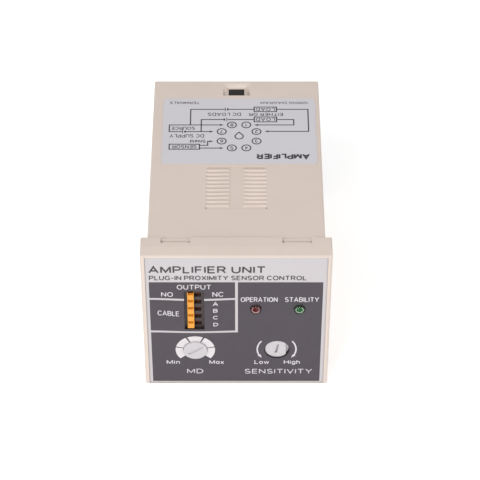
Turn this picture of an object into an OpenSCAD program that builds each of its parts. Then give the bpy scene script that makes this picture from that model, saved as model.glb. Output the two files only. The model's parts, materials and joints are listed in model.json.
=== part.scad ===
// Plug-in amplifier unit for a proximity sensor, in the 48 x 48 mm panel format.
// X is to the right, Y runs from the front to the rear and Z is up, all seen from the front.
// The origin is the centre of the panel plane, where the bezel's rear face meets a panel.

/* [Front panel] */
// Width and height of the front bezel
panel_size = 48; // [47.6:0.1:50]
// Depth of the bezel in front of the panel
bezel_depth = 6.7; // [6.6:0.1:6.9]
// Width of the nameplate
nameplate_w = 45.7; // [45:0.1:46]
// Height of the nameplate
nameplate_h = 46.4; // [45.6:0.1:46.8]
// Depth of the nameplate's recess
recess_depth = 0.5; // [0.4:0.05:0.6]
// Thickness of the nameplate film
film_t = 0.2; // [0.15:0.05:0.3]

/* [Case] */
// Width and height of the case behind the panel
case_size = 44.8; // [44.4:0.1:45]
// Length of the case behind the panel
case_length = 63; // [62.5:0.5:75]
// Wall thickness of the case
wall = 2; // [1.8:0.1:2]
// Pitch of the ratchet teeth that a mounting adapter climbs
tooth_pitch = 1.49; // [1.4:0.01:1.5]
// Height of the ratchet teeth
tooth_h = 0.5; // [0.4:0.05:0.9]
// Number of teeth in one column
tooth_count = 10; // [6:1:10]

/* [Controls] */
// Pitch of the slide switch's poles
pole_pitch = 2.6; // [2.54:0.02:2.6]
// Travel of one switch slider
slide_travel = 1.8; // [1.4:0.1:1.8]
// Radius of the two adjusters' faces
knob_r = 3.1; // [2.8:0.05:3.15]
// Radius of an indicator lamp's lens
lamp_r = 1.45; // [1.3:0.05:1.45]
// Direction of the differential adjuster's pointer, up from the right
pointer_angle = 37; // [-38:1:218]

/* [Plug] */
// Diameter of the circle that the contact pins stand on
pin_circle = 17.45; // [17:0.05:18]
// Diameter of a contact pin
pin_d = 2.36; // [2.2:0.02:2.5]
// Length of a contact pin outside the base
pin_length = 11.6; // [10:0.1:12]
// Length of the centre post outside the base
post_length = 14.2; // [12.5:0.1:15]

/* [Hidden] */
$fn = 48;
eps = 0.01;
run_gap = 0.05;

// Planes along the depth, from the front
front_y = -bezel_depth;
recess_y = front_y + recess_depth;
film_y = recess_y - film_t;
wall_back_y = recess_y + 2;
board_y = 0.2;
board_t = 1.6;
case_front_y = wall_back_y + 0.1;
base_y = case_length - 3;

// Inside of the case
bay = case_size - 2 * wall;
half_bay = bay / 2;
half_case = case_size / 2;
half_panel = panel_size / 2;

// Places of the controls on the front, [x, z]
poles = ["output", "a", "b", "c", "d"];
switch_c = [-10.7, 4.4];
window_c = [-10.7, 4.45];
window_size = [5.1, 13.7];
lamp_operation = [4.93, 4.8];
lamp_stability = [16.1, 4.8];
md_c = [-10.67, -10.5];
sens_c = [10.55, -10.5];
lamp_hole_r = 1.5;
md_hole_r = knob_r + 0.06;
sens_hole_r = knob_r + 0.2;
undercut = 0.4;
window_undercut = [1.6, 0.8];

// Snaps that hold the bezel on the case
snap_x = 15.2;
snap_w = 6.5;
snap_front_y = -1.95;
snap_bar = 0.75;
snap_drop = 0.5;

// Ratchet racks on the case's top and underside
rack_y = 13.25;
rack_half_w = 7.5;
rack_gap = 1.6;
rack_lead = 1.1;
tooth_lean = 0.33;
rack_draft = 0.4;
rack_len = tooth_count * tooth_pitch;

// Latch windows near the case's rear
latch_y = [57, 61.2];
latch_half_w = 2.1;
latch_depth = 1.3;

// Printed circuit boards
side_board_x = 13.4;
side_board_y = [3, 54];
rail_h = 1.2;
rail_t = 0.8;
rear_board_y = 56;
screw_at = 18.2;

// Contact pins: number 1 is next to the key, which points down
pin_r = pin_d / 2;
pin_stem_r = 0.8;
function pin_at(k) = pin_circle / 2 * [sin(45 * k - 22.5), -cos(45 * k - 22.5)];
function pole_z(k) = switch_c[1] + (2 - k) * pole_pitch;

// Rows of link pins between the boards
link_x = side_board_x - 0.33;
link_r = 0.3;
link_rows = [-4.8, -2.2, 0.4, 3, 5.6, 8.2];

// Multi-turn trimmer behind the sensitivity adjuster
trim_y = [2.2, 21.2];
trim_size = [5, 6.4];
trim_bay = [4, 20];
trim_screw_r = 0.95;
head_r = 1.13;
carriage_l = 2.4;

ivory = "#d9ccbf";
film_grey = "#5f5b61";
silver = "#cfcdd2";
black = "#26241f";
orange = "#f5a623";
fr4 = "#3d7a4b";
brass = "#c8a24a";
nickel = "#c9c9c4";
white = "#e9e8e6";

// ---------- shared shapes

// Extrudes a shape drawn in X and Z from y0 to y1
module slab(y0, y1) {
    translate([0, y1, 0]) rotate([90, 0, 0]) linear_extrude(y1 - y0) children();
}

// A round bar along Y
module rod(at, y0, y1, r) {
    translate([at[0], y1, at[1]]) rotate([90, 0, 0]) cylinder(h = y1 - y0, r = r);
}

// A box between two corners
module block(lo, hi) {
    translate(lo) cube(hi - lo);
}

// Extrudes a profile drawn in Y and Z along X, centred on x = at
module along_x(at, w) {
    translate([at - w / 2, 0, 0]) rotate([90, 0, 90]) linear_extrude(w) children();
}

// Extrudes a profile drawn in X and Y along Z, centred on z = at
module along_z(at, h) {
    translate([0, 0, at - h / 2]) linear_extrude(h) children();
}

module rounded_rect(w, h, r) {
    square([w - 2 * r, h], center = true);
    square([w, h - 2 * r], center = true);
    for (x = [-1, 1], z = [-1, 1]) translate([x * (w / 2 - r), z * (h / 2 - r)]) circle(r);
}

// Repeats its children on the top and on the underside
module both_faces() {
    children();
    mirror([0, 0, 1]) children();
}

module both_sides() {
    children();
    mirror([1, 0, 0]) children();
}

// ---------- shells

// Side view of the bezel: straight skirt, a taper of the front half and a rounded front edge
module bezel_profile(taper) {
    edge_r = 0.9;
    skirt_y = -bezel_depth / 2;
    edge = [front_y + edge_r, half_panel - taper - edge_r];
    side = [for (a = [0:15:90]) edge + edge_r * [-sin(a), cos(a)]];
    half = concat([[0, half_panel], [skirt_y, half_panel]], side);
    mirrored = [for (i = [len(half) - 1:-1:0]) [half[i][0], -half[i][1]]];
    polygon(concat(half, mirrored));
}

// Openings over the controls, larger by margins in the wall than in the film that covers it
module front_openings(margin, window_margin) {
    y0 = front_y - 2;
    y1 = wall_back_y + 1;
    slab(y0, y1) translate(window_c) square(window_size + 2 * window_margin, center = true);
    for (p = [lamp_operation, lamp_stability]) rod(p, y0, y1, lamp_hole_r + margin);
    rod(md_c, y0, y1, md_hole_r + margin);
    rod(sens_c, y0, y1, sens_hole_r + margin);
}

// Window in the skirt that a snap tab of the case shows through, with its lowered rear bar
module snap_window(x) {
    top = half_panel + eps;
    low = half_panel - snap_drop;
    spread = snap_w / 2 + 0.45;
    block([x - snap_w / 2, snap_front_y, half_bay], [x + snap_w / 2, -snap_bar, low + eps]);
    slab(snap_front_y, 1) polygon([
        [x - snap_w / 2, low], [x - spread, top], [x + spread, top], [x + snap_w / 2, low]]);
}

module front_bezel() {
    post_r = 1.7;
    pilot_r = 0.8;
    corners = [for (x = [-1, 1], z = [-1, 1]) screw_at * [x, z]];
    color(ivory) difference() {
        union() {
            difference() {
                intersection() {
                    slab(front_y, 0) rounded_rect(panel_size, panel_size, 0.5);
                    along_x(0, panel_size + 2) bezel_profile(0.25);
                    along_z(0, panel_size + 2) mirror([1, -1]) bezel_profile(0);
                }
                slab(wall_back_y, 1) square(case_size + 0.2, center = true);
            }
            for (p = corners) rod(p, wall_back_y - eps, board_y, post_r);
        }
        slab(front_y - 1, recess_y) square([nameplate_w + 0.1, nameplate_h + 0.1], center = true);
        front_openings(undercut, window_undercut);
        for (p = corners) rod(p, board_y - 3.4, board_y + 1, pilot_r);
        both_faces() both_sides() snap_window(snap_x);
    }
}

module nameplate() {
    color(film_grey) difference() {
        slab(film_y, recess_y) rounded_rect(nameplate_w, nameplate_h, 0.4);
        front_openings(0, [0, 0]);
    }
}

// Tab on the case, chamfered in front, that the bezel's bar hooks behind
module snap_tab(x) {
    low = half_case - 0.2;
    high = half_panel - snap_drop - 0.1;
    back = -snap_bar - 0.05;
    front = snap_front_y + 0.02;
    along_x(x, snap_w - 0.04)
        polygon([[front, low], [front, high - 0.4], [back - 0.5, high], [back, high], [back, low]]);
}

// Bar along Y whose sides slope out towards its top by the draft
module tapered_bar(half_w, draft, y0, y1) {
    top = half_w + draft;
    slab(y0, y1) polygon([[-half_w, -tooth_h], [-top, eps], [top, eps], [half_w, -tooth_h]]);
}

// What is cut from the case for one rack, so that two columns of sawteeth stay
module rack_cut() {
    feet = [for (i = [0:tooth_count - 1]) i * tooth_pitch];
    steps = [for (y = feet) each [[y, -tooth_h], [y + tooth_lean, 0]]];
    teeth = concat([[0, -wall]], steps, [[rack_len, -tooth_h], [rack_len, -wall]]);
    translate([0, 0, half_case]) difference() {
        tapered_bar(rack_half_w, rack_draft, rack_y - rack_lead, rack_y + rack_len);
        difference() {
            along_x(0, 2 * (rack_half_w + rack_draft)) translate([rack_y, 0]) polygon(teeth);
            tapered_bar(rack_gap, rack_draft, 0, case_length);
        }
    }
}

// Funnel around a latch window: three sloping sides, and a straight one towards the front
module latch_cut() {
    side_slope = 1.55;
    rear_slope = 0.9;
    top = half_case + eps;
    floor_z = half_case - latch_depth;
    front = latch_y[0];
    rear = latch_y[1];
    intersection() {
        along_x(0, 20) polygon([[front, floor_z], [front, top], [rear + rear_slope, top], [rear, floor_z]]);
        slab(0, case_length) polygon([
            [-latch_half_w, floor_z], [-latch_half_w - side_slope, top],
            [latch_half_w + side_slope, top], [latch_half_w, floor_z]]);
    }
    block([-latch_half_w, front, half_bay - 1], [latch_half_w, rear, floor_z + eps]);
}

// Pair of ribs that a side board slides between
module board_rail() {
    for (x = [side_board_x - 0.1 - rail_t, side_board_x + board_t + 0.1])
        block([x, side_board_y[0], half_bay - rail_h], [x + rail_t, base_y - 0.05, half_bay + 0.5]);
}

module rear_case() {
    color(ivory) difference() {
        union() {
            difference() {
                slab(case_front_y, case_length) rounded_rect(case_size, case_size, 0.5);
                slab(case_front_y - 1, case_length + 1) square(bay, center = true);
            }
            both_faces() both_sides() {
                snap_tab(snap_x);
                board_rail();
            }
        }
        both_faces() {
            rack_cut();
            latch_cut();
        }
    }
}

module wiring_label() {
    centre = [0.75, 42.3];
    size = [40.9, 26.4];
    color(silver) translate([centre[0], centre[1], half_case])
        linear_extrude(0.1) rounded_rect(size[0], size[1], 1);
}

// ---------- plug

// Flexible arm whose hook stands in the case's latch window
module latch_arm() {
    reach = 5;
    t = 1.2;
    top = half_bay - 0.15;
    hook_z = half_case - latch_depth - 0.1;
    rear = latch_y[1] - 0.1;
    along_x(0, 2 * latch_half_w - 0.2) polygon([
        [rear, top - t], [rear, hook_z], [rear - 1.6, hook_z],
        [latch_y[0] + 0.2, top], [base_y - reach, top], [base_y - reach, top - t]]);
}

module plug_base() {
    post_r = 3.9;
    key_w = 1.7;
    key_out = 1.2;
    tip = 0.7;
    end = case_length + post_length;
    color(black) difference() {
        union() {
            slab(base_y, case_length) rounded_rect(bay - 0.3, bay - 0.3, 0.5);
            rod([0, 0], case_length - eps, case_length + 0.8, 5.2);
            rod([0, 0], case_length - eps, end - tip, post_r);
            translate([0, end, 0]) rotate([90, 0, 0]) cylinder(h = tip + eps, r1 = post_r - tip, r2 = post_r);
            block([-key_w / 2, case_length - eps, -post_r - key_out], [key_w / 2, end - 1.6, 0]);
            // Low collar inside the base that stiffens it round the pins
            difference() {
                rod([0, 0], base_y - 1.2, base_y + eps, 13);
                rod([0, 0], base_y - 2, base_y, 11.6);
            }
            both_faces() latch_arm();
        }
        for (k = [1:8]) rod(pin_at(k), base_y - 2, case_length + 1, pin_stem_r + 0.02);
        rod([0, 0], base_y - 1, end - 3, 1.6);
    }
}

module contact_pin(k) {
    end = case_length + pin_length;
    color(nickel) union() {
        rod(pin_at(k), base_y - eps, case_length + 0.02, pin_stem_r);
        rod(pin_at(k), case_length + 0.01, end - pin_r, pin_r);
        translate([pin_at(k)[0], end - pin_r, pin_at(k)[1]]) sphere(pin_r);
        rod(pin_at(k), base_y - 0.8, base_y, 1.8);
        rod(pin_at(k), rear_board_y - 1, base_y - 0.8 + eps, 0.5);
    }
}

// ---------- boards

function switch_legs() = [for (k = [0:4], s = [-1, 1]) [switch_c[0] + s * 2.9, pole_z(k)]];
function lamp_legs() = [for (p = [lamp_operation, lamp_stability], s = [-1, 1]) p + [1.27 * s, 0]];
function md_legs() = [for (x = [-2.5, 0, 2.5]) md_c + [x, -3.4]];
function links() = [for (x = [-1, 1], z = link_rows) [x * link_x, z]];

module front_board() {
    size = bay - 0.4;
    color(fr4) difference() {
        slab(board_y, board_y + board_t) rounded_rect(size, size, 0.5);
        for (p = concat(switch_legs(), lamp_legs(), md_legs())) rod(p, 0, 3, 0.5);
        for (p = links()) rod(p, 0, 3, link_r + 0.05);
        for (x = [-1, 1], z = [-1, 1]) rod(screw_at * [x, z], 0, 3, 1);
        rod(sens_c, 0, 3, 2.2);
    }
}

module side_board() {
    h = bay - 0.4;
    front = side_board_y[0] + 0.1;
    color(fr4) block([side_board_x, front, -h / 2], [side_board_x + board_t, side_board_y[1], h / 2]);
}

module main_board() {
    mirror([1, 0, 0]) side_board();
}

module power_board() {
    side_board();
}

module base_board() {
    color(fr4) difference() {
        slab(rear_board_y, rear_board_y + board_t) rounded_rect(30, 32, 1);
        for (k = [1:8]) rod(pin_at(k), rear_board_y - 1, rear_board_y + 3, 0.55);
        for (p = links()) rod(p, rear_board_y - 1, rear_board_y + 3, link_r + 0.05);
    }
}

module board_screws() {
    back = board_y + board_t;
    color(nickel) for (x = [-1, 1], z = [-1, 1]) {
        at = screw_at * [x, z];
        difference() {
            union() {
                rod(at, back - 4.8, back + eps, 0.78);
                rod(at, back, back + 1.1, 1.6);
            }
            block([at[0] - 1.1, back + 0.6, at[1] - 0.2], [at[0] + 1.1, back + 2, at[1] + 0.2]);
            block([at[0] - 0.2, back + 0.6, at[1] - 1.1], [at[0] + 0.2, back + 2, at[1] + 1.1]);
        }
    }
}

module front_links() {
    color(brass) for (p = links()) rod(p, board_y + 0.1, side_board_y[0] + 3, link_r);
}

module rear_links() {
    color(brass) for (p = links()) rod(p, side_board_y[1] - 3, rear_board_y + board_t + 0.8, link_r);
}

// ---------- slide switch with five poles

switch_face_y = film_y + 0.4;
switch_skin = 0.8;
switch_flange_y = wall_back_y + 0.1;
switch_back_y = -0.6;
slot_half = slide_travel / 2 + 0.9;
head_w = 1.7;
switch_size = [9.2, 15.4];

module switch_body() {
    boss = window_size + 2 * (window_undercut - [0.1, 0.1]);
    color("#2e2b2c") difference() {
        union() {
            slab(switch_face_y, switch_flange_y + eps) translate(window_c) square(boss, center = true);
            slab(switch_flange_y, switch_back_y) translate(switch_c) square(switch_size, center = true);
        }
        for (k = [0:4]) {
            slab(switch_face_y - 1, switch_back_y) translate([switch_c[0], pole_z(k)])
                square([2 * slot_half, 1.5], center = true);
            slab(switch_face_y + switch_skin, switch_back_y + 1) translate([switch_c[0], pole_z(k)])
                square([2 * (slot_half + slide_travel), 2.1], center = true);
        }
    }
}

module switch_base() {
    color("#3a3637") difference() {
        union() {
            slab(switch_back_y, board_y) translate(switch_c) square(switch_size, center = true);
            for (k = [0:4]) slab(switch_back_y - 0.5, switch_back_y + eps) translate([switch_c[0], pole_z(k)])
                square([6.6, 1.7], center = true);
        }
        for (p = switch_legs()) slab(-3, 3) translate(p) square([0.5, 0.6], center = true);
    }
}

// Two terminals a pole: a long pad on the left and a short one on the right, each with a leg
module switch_terminals() {
    pad_y = [switch_back_y - 0.7, switch_back_y - 0.5];
    cx = switch_c[0];
    color(brass) for (k = [0:4]) {
        z = pole_z(k);
        block([cx - 3.2, pad_y[0], z - 0.6], [cx + 0.1, pad_y[1], z + 0.6]);
        block([cx + 0.7, pad_y[0], z - 0.6], [cx + 3.2, pad_y[1], z + 0.6]);
        for (x = [cx - 2.9, cx + 2.9]) block([x - 0.2, pad_y[1] - eps, z - 0.25], [x + 0.2, 3, z + 0.25]);
    }
}

// Slider of one pole, whose broad foot keeps its slot covered over the whole travel
module slider(k) {
    x0 = switch_c[0] - slot_half + run_gap;
    x1 = x0 + head_w;
    z = pole_z(k);
    neck_y = switch_face_y - 0.1;
    foot_y = switch_face_y + switch_skin + 0.1;
    half_h = 1.25;
    cover = slide_travel - run_gap;
    color(orange) union() {
        difference() {
            block([x0, front_y, z - half_h], [x1, neck_y, z + half_h]);
            block([x0 + 0.25, front_y - 1, z + half_h - 0.8], [x1 - 0.25, front_y + 0.5, z + half_h + 1]);
        }
        block([x0, neck_y - eps, z - 0.65], [x1, foot_y + eps, z + 0.65]);
        block([x0 - cover, foot_y, z - 0.95], [x1 + cover, foot_y + 1.4, z + 0.95]);
    }
}

// Bridging spring under a slider, with two feet that ride on the terminals' pads
module slider_contact(k) {
    x0 = switch_c[0] - slot_half + run_gap;
    top = switch_face_y + switch_skin + 1.5;
    low = switch_back_y - 0.75;
    t = 0.2;
    feet = [x0 - 0.05, x0 + 1.55];
    color(brass) along_z(pole_z(k), 1) union() {
        translate([x0 - 0.3, top]) square([2.3, t]);
        for (x = feet) {
            translate([x - t / 2, top]) square([t, low - top - 0.3]);
            translate([x, low - 0.3]) circle(0.3);
        }
    }
}

// ---------- indicator lamps

module lamp(at) {
    centre_y = film_y;
    back_y = -2.3;
    rod(at, centre_y, back_y, lamp_r);
    translate([at[0], centre_y, at[1]]) sphere(lamp_r);
    rod(at, back_y - 0.9, back_y, lamp_r + 0.3);
}

module lamp_leads() {
    color(nickel) for (p = lamp_legs()) slab(-2.3, 3) translate(p) square(0.45, center = true);
}

// ---------- differential adjuster: a single-turn potentiometer

md_cover_y = -3.7;
md_cup_y = -2.9;

module md_knob() {
    face_y = film_y - 0.4;
    slot_w = 0.8;
    slot_l = 4.2;
    slot_d = 0.25;
    color(white) difference() {
        union() {
            rod(md_c, face_y, md_cup_y + 0.2 + eps, knob_r);
            rod(md_c, md_cup_y + 0.1, md_cup_y + 0.9, 4);
        }
        // Screwdriver slot with a pointed end
        slab(face_y - 1, face_y + slot_d) translate(md_c) rotate(pointer_angle) {
            square([slot_l, slot_w], center = true);
            translate([slot_l / 2, 0]) polygon([[-eps, -slot_w / 2], [0.4, 0], [-eps, slot_w / 2]]);
        }
        rod(md_c, md_cup_y - 0.4, 0, 1);
    }
}

module md_wiper() {
    y0 = md_cup_y + 0.9;
    arm_l = 3.7;
    color(brass) union() {
        slab(y0, y0 + 0.2) translate(md_c) rotate(pointer_angle) difference() {
            union() {
                circle(1.9);
                translate([0, -0.6]) square([arm_l, 1.2]);
            }
            circle(1);
        }
        rod(md_c + 3.3 * [cos(pointer_angle), sin(pointer_angle)], y0 + 0.1, y0 + 0.7, 0.3);
    }
}

module md_pot_cover() {
    color("#4a4a4c") difference() {
        slab(md_cover_y, md_cup_y) translate(md_c) square(9.8, center = true);
        rod(md_c, md_cover_y - 1, md_cup_y + 1, knob_r + run_gap);
    }
}

module md_pot_base() {
    color("#4a4a4c") difference() {
        slab(md_cup_y, board_y) translate(md_c) square(9.8, center = true);
        difference() {
            rod(md_c, md_cup_y - 1, -0.6, 4.2);
            rod(md_c, md_cup_y + 0.3, 0, 0.95);
        }
    }
}

module md_element() {
    color("#5a3b2a") difference() {
        rod(md_c, -1.2, -0.6, 4.1);
        rod(md_c, -2, 0, 2.5);
        slab(-2, 0) translate(md_c) polygon([[0, 0], [-2.4, -6], [2.4, -6]]);
    }
}

module md_terminals() {
    color(nickel) for (p = md_legs()) slab(board_y, 3.2) translate(p) square([0.7, 0.4], center = true);
}

// ---------- sensitivity adjuster: a trimmer whose screw drives a wiper carriage

module sensitivity_knob() {
    face_y = film_y + 0.3;
    color(white) difference() {
        union() {
            rod(sens_c, face_y, face_y + 1.6, knob_r);
            rod(sens_c, face_y + 1.6 - eps, -0.3, 2);
        }
        slab(face_y - 1, face_y + 0.6) translate(sens_c) rotate(80) square([3.2, 0.55], center = true);
        // Index flat: the face steps down beyond this chord
        slab(face_y - 1, face_y + 0.5) translate(sens_c + [2.35, -4]) square([4, 8]);
        rod(sens_c, -3.5, 1, head_r + 0.02);
    }
}

// Dark ring that closes the gap round the sensitivity adjuster's face
module sensitivity_ring() {
    color("#1c1c1c") difference() {
        rod(sens_c, recess_y + 0.02, recess_y + 1, sens_hole_r + undercut - 0.05);
        rod(sens_c, recess_y - 1, recess_y + 2, knob_r + run_gap);
    }
}

module sensitivity_screw() {
    color(brass) union() {
        rod(sens_c, -3.5, trim_bay[0] + 0.2, head_r);
        rod(sens_c, trim_bay[0] + 0.1, trim_bay[0] + 0.7, 1.6);
        rod(sens_c, trim_bay[0] + 0.1, trim_bay[1] + 0.5, trim_screw_r);
    }
}

module sensitivity_seal() {
    color("#1c1c1c") translate([sens_c[0], trim_y[0] - 0.25, sens_c[1]]) rotate([90, 0, 0])
        rotate_extrude() translate([head_r + 0.27, 0]) circle(0.25);
}

module sensitivity_carriage() {
    mid = (trim_bay[0] + trim_bay[1]) / 2 + 0.4;
    color("#d8d2c4") difference() {
        slab(mid - carriage_l / 2, mid + carriage_l / 2) translate(sens_c) square([3.2, 4.4], center = true);
        rod(sens_c, mid - 3, mid + 3, trim_screw_r + run_gap);
    }
}

module sensitivity_trimmer_body() {
    color("#2f5fa8") difference() {
        slab(trim_y[0], trim_y[1]) translate(sens_c) square(trim_size, center = true);
        slab(trim_y[0] - 1, trim_bay[1]) translate(sens_c) square([4.1, 4.8], center = true);
        rod(sens_c, trim_bay[1] - 1, trim_bay[1] + 0.6, trim_screw_r + run_gap);
    }
}

module sensitivity_trimmer_cap() {
    color("#2f5fa8") difference() {
        slab(trim_y[0], trim_bay[0]) translate(sens_c) square([4, 4.7], center = true);
        rod(sens_c, trim_y[0] - 1, trim_bay[0] + 1, head_r + run_gap);
    }
}

module sensitivity_element() {
    x = sens_c[0] + 1.65;
    z = sens_c[1];
    color("#e8e4da") block([x, trim_bay[0] + 0.2, z - 2.3], [x + 0.35, trim_bay[1] - 0.2, z + 2.3]);
}

// ---------- parts on the side boards

// Upright module with a row of leads, on the main board
module oscillator_hybrid() {
    face = -side_board_x;
    color("#8a4b2c") union() {
        block([face + 1.6, 12, 10], [face + 11, 36, 11.4]);
        for (i = [0:8]) block([face, 13.6 + i * 2.54, 10.5], [face + 1.7, 14.1 + i * 2.54, 10.9]);
    }
}

// Dual in-line package lying on the main board, with its legs on both long sides
module dual_in_line(y, z, legs) {
    face = -side_board_x;
    len_y = legs * 2.54 - 0.6;
    block([face + 0.5, y, z - 3.2], [face + 3.8, y + len_y, z + 3.2]);
    for (i = [0:legs - 1], s = [-1, 1]) {
        mid = y + 0.97 + i * 2.54;
        block([face, mid - 0.25, z + s * 3.6 - 0.15], [face + 2.2, mid + 0.25, z + s * 3.6 + 0.15]);
        block([face + 1.9, mid - 0.25, z + s * 3.4 - 0.35], [face + 2.2, mid + 0.25, z + s * 3.4 + 0.35]);
    }
}

module film_capacitors() {
    face = -side_board_x;
    color("#b5482f") for (y = [39.6, 43.8, 48]) block([face + 0.02, y, -4], [face + 7, y + 2.6, 3.4]);
}

module electrolytic_capacitors() {
    color("#27364f") for (c = [[42, 9, 5, 14], [30.5, 11, 4, 11.5], [29, -9, 3.15, 11]])
        translate([side_board_x - 0.02, c[0], c[1]]) rotate([0, -90, 0]) cylinder(h = c[3], r = c[2]);
}

module voltage_regulator() {
    face = side_board_x;
    color("#2a2a2c") union() {
        block([face - 13, 46, -6], [face - 4, 48.8, 4]);
        block([face - 19, 48.7, -6], [face - 4.6, 50, 4]);
        for (z = [-3.54, -1, 1.54]) block([face - 4.1, 47.2, z - 0.4], [face - 0.02, 47.7, z + 0.4]);
    }
}

module output_transistors() {
    face = side_board_x;
    color("#2a2a2c") for (y = [36, 42]) {
        block([face - 14, y, -16.5], [face - 3.5, y + 2.7, -8.7]);
        for (z = [-14.9, -12.6, -10.3])
            block([face - 3.6, y + 1, z - 0.35], [face - 0.02, y + 1.5, z + 0.35]);
    }
}

module surge_absorber() {
    color("#2e6fb0") translate([side_board_x - 5.6, 50.5, -12.6]) rotate([-90, 0, 0]) cylinder(h = 3, r = 4);
    color(nickel) for (z = [-14.6, -10.6])
        block([side_board_x - 2.6, 51.7, z - 0.3], [side_board_x - 0.02, 52.3, z + 0.3]);
}

// Axial resistors lying along the boards, with their leads bent down to them
// Axial resistor on the inner face of the right-hand board
module resistor(y, z) {
    x = side_board_x - 1.5;
    rod([x, z], y, y + 6.3, 1.1);
    rod([x, z], y - 1.6, y + 7.9, 0.3);
    for (leg_y = [y - 1.5, y + 7.8]) translate([x, leg_y, z]) rotate([0, 90, 0]) cylinder(h = 1.48, r = 0.3);
}

module resistors() {
    color("#c9b48f") {
        mirror([1, 0, 0]) for (at = [[14, -17], [14, -13.6], [14, 15], [14, 18], [30, -17], [30, -13.6]])
            resistor(at[0], at[1]);
        for (z = [4, 0.5, -3]) resistor(24, z);
    }
}

front_bezel();
nameplate();
rear_case();
wiring_label();
plug_base();
for (k = [1:8]) contact_pin(k);
front_board();
main_board();
power_board();
base_board();
board_screws();
front_links();
rear_links();
switch_body();
switch_base();
switch_terminals();
for (k = [0:4]) slider(k);
for (k = [0:4]) slider_contact(k);
color("#8e1320") lamp(lamp_operation);
color("#1f7a3a") lamp(lamp_stability);
lamp_leads();
md_knob();
md_wiper();
md_pot_cover();
md_pot_base();
md_element();
md_terminals();
sensitivity_knob();
sensitivity_ring();
sensitivity_screw();
sensitivity_seal();
sensitivity_carriage();
sensitivity_trimmer_body();
sensitivity_trimmer_cap();
sensitivity_element();
oscillator_hybrid();
color("#202022") dual_in_line(39, -12, 4);  // comparator_ic
color("#202022") dual_in_line(12, -4, 7);  // logic_ic
film_capacitors();
electrolytic_capacitors();
voltage_regulator();
output_transistors();
surge_absorber();
resistors();
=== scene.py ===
"""Looks of a plug-in amplifier unit for a proximity sensor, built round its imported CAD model."""

import json
import math

import bmesh
import bpy
from mathutils import Matrix, Vector
from mathutils.geometry import delaunay_2d_cdt


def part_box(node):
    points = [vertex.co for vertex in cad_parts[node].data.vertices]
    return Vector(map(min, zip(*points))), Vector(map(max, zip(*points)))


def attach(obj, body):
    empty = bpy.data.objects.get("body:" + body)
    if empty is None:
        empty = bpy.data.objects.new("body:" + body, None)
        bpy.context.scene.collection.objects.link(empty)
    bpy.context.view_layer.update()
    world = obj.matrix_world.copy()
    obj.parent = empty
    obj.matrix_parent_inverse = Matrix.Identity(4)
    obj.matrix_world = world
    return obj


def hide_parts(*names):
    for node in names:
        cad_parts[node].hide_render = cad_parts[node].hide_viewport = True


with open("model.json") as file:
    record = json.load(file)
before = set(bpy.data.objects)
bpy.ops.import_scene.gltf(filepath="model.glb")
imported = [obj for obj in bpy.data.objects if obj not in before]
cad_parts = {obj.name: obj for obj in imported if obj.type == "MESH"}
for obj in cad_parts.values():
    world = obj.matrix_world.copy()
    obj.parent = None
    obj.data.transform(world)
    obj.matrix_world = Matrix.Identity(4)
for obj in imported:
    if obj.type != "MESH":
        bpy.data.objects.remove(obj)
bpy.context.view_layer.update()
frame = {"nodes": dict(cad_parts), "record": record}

MM = 0.001
INK = 0.012 * MM  # thickness of one layer of print
CELL = 0.8 * MM  # grid on which every piece of the bulging nameplate is cut
WELD = 0.0005 * MM  # points closer than this are one point
POLES = ["output", "a", "b", "c", "d"]

FRONT_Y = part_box("front_bezel")[0].y
FILM_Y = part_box("nameplate")[0].y
LABEL_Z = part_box("wiring_label")[1].z


# ---------- materials

def new_material(name, colour, roughness, **sockets):
    """A material, its node tree and its shader, with what is the same all over set on the shader."""
    material = bpy.data.materials.new(name)
    material.use_nodes = True
    shader = material.node_tree.nodes["Principled BSDF"]
    shader.inputs["Base Color"].default_value = (*colour, 1)
    shader.inputs["Roughness"].default_value = roughness
    for socket, value in sockets.items():
        shader.inputs[socket.replace("_", " ")].default_value = value
    return material, material.node_tree, shader


def noise(tree, size_mm, detail=3.0, stretch=(1, 1, 1)):
    """Noise in the part's own space, with features of about size_mm."""
    where = tree.nodes.new("ShaderNodeTexCoord")
    scale = tree.nodes.new("ShaderNodeVectorMath")
    scale.operation = "MULTIPLY"
    scale.inputs[1].default_value = [s / (size_mm * MM) for s in stretch]
    texture = tree.nodes.new("ShaderNodeTexNoise")
    texture.inputs["Scale"].default_value = 1
    texture.inputs["Detail"].default_value = detail
    tree.links.new(where.outputs["Object"], scale.inputs[0])
    tree.links.new(scale.outputs["Vector"], texture.inputs["Vector"])
    return texture.outputs["Fac"]


def ramp(tree, value, stops):
    """Turns a value into a colour, between two stops, each a place and its colour."""
    node = tree.nodes.new("ShaderNodeValToRGB")
    for element, (place, colour) in zip(node.color_ramp.elements, stops):
        element.position = place
        element.color = (*colour, 1)
    tree.links.new(value, node.inputs["Fac"])
    return node.outputs["Color"]


def shade(colour, factor):
    return tuple(min(1.0, c * factor) for c in colour)


def add_bump(tree, shader, height, distance_mm, strength):
    bump = tree.nodes.new("ShaderNodeBump")
    bump.inputs["Strength"].default_value = strength
    bump.inputs["Distance"].default_value = distance_mm * MM
    tree.links.new(height, bump.inputs["Height"])
    tree.links.new(bump.outputs["Normal"], shader.inputs["Normal"])


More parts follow.
